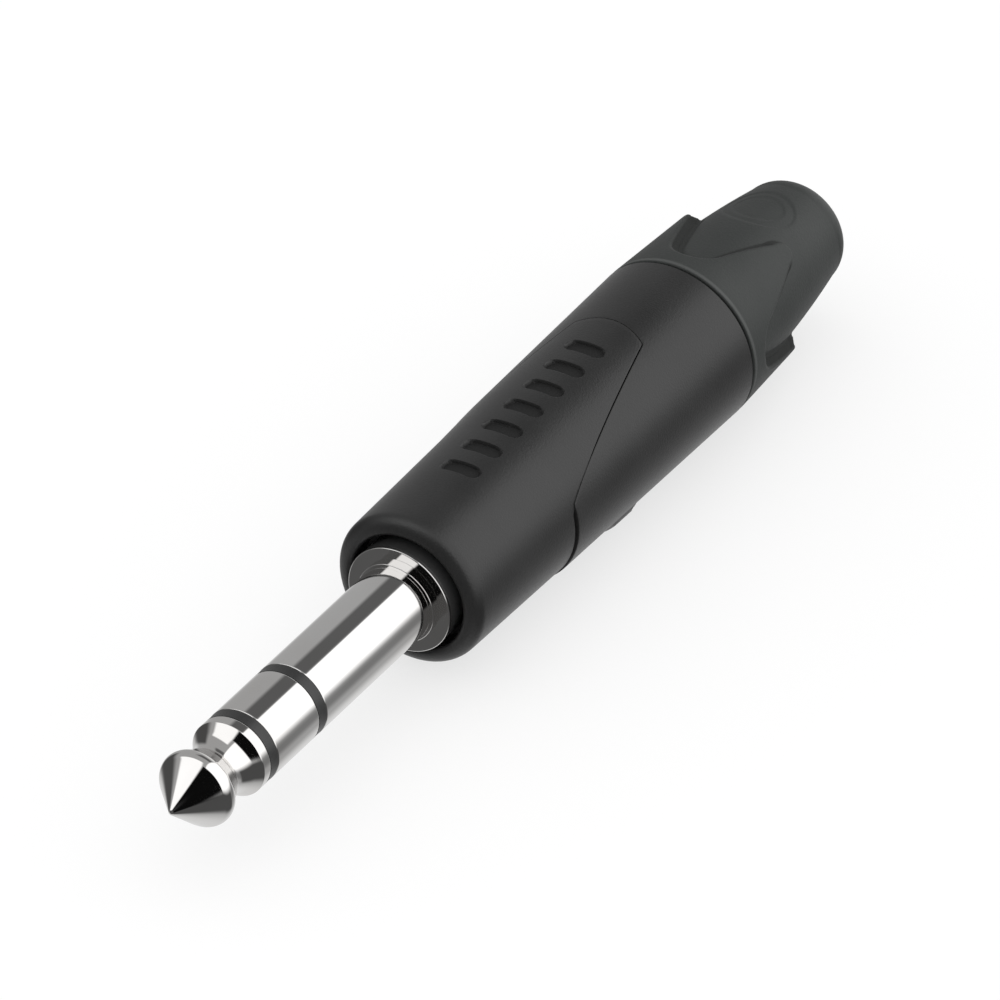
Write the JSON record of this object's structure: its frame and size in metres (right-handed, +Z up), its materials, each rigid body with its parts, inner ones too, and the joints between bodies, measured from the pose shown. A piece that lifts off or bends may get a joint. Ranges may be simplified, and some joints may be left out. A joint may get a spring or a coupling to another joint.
{
  "type": "stereo jack plug",
  "caption": "Straight 6.35 mm stereo jack plug with a snap-together housing, a long tongue and a petalled rubber boot.",
  "frame": {"origin": "on the finger's axis, in the front face of the shoulder collar that meets a socket's mouth", "axes": "X along the plug with the tip towards -X and the cable entry towards +X, +Z up through the middle of the housing's tongue, rest foot underneath"},
  "size_m": [0.0895, 0.0144, 0.0144],
  "materials": {
    "plated_contact": "polished",
    "plated_lug": "satin",
    "insulator": "satin",
    "liner": "matte",
    "housing": "fine matte grain",
    "chuck_plastic": "satin",
    "gland_plastic": "satin",
    "boot_rubber": "matte"
  },
  "bodies": {
    "plug": {"tip_contact": "plated_contact", "tip_insulator": "insulator", "tip_tube": "insulator", "ring_contact": "plated_contact", "ring_insulator": "insulator", "ring_tube": "insulator", "sleeve_contact": "plated_contact", "spacer_ring": "insulator", "sleeve_lug": "plated_lug", "terminal_block": "insulator", "ring_lug": "plated_lug", "lug_washer": "insulator", "tip_lug": "plated_lug", "rivet_washer": "plated_lug", "insulating_tube": "liner", "front_shell": "housing", "body_shell": "housing"},
    "cable_chuck": {"chuck": "chuck_plastic"},
    "rear_boot": {"gland_nut": "gland_plastic", "boot": "boot_rubber"}
  },
  "joints": [
    {"name": "chuck_slide", "type": "slide", "parent": "plug", "child": "cable_chuck", "axis": [1, 0, 0], "range_m": [0, 0.005]},
    {"name": "boot_turn", "type": "hinge", "parent": "cable_chuck", "child": "rear_boot", "pos_m": [0.0401, 0, 0], "axis": [1, 0, 0], "range_deg": [0, 1800]}
  ],
  "couplings": [
    {"joint": "boot_turn", "follows": "chuck_slide", "rad_per_m": 6283}
  ]
}
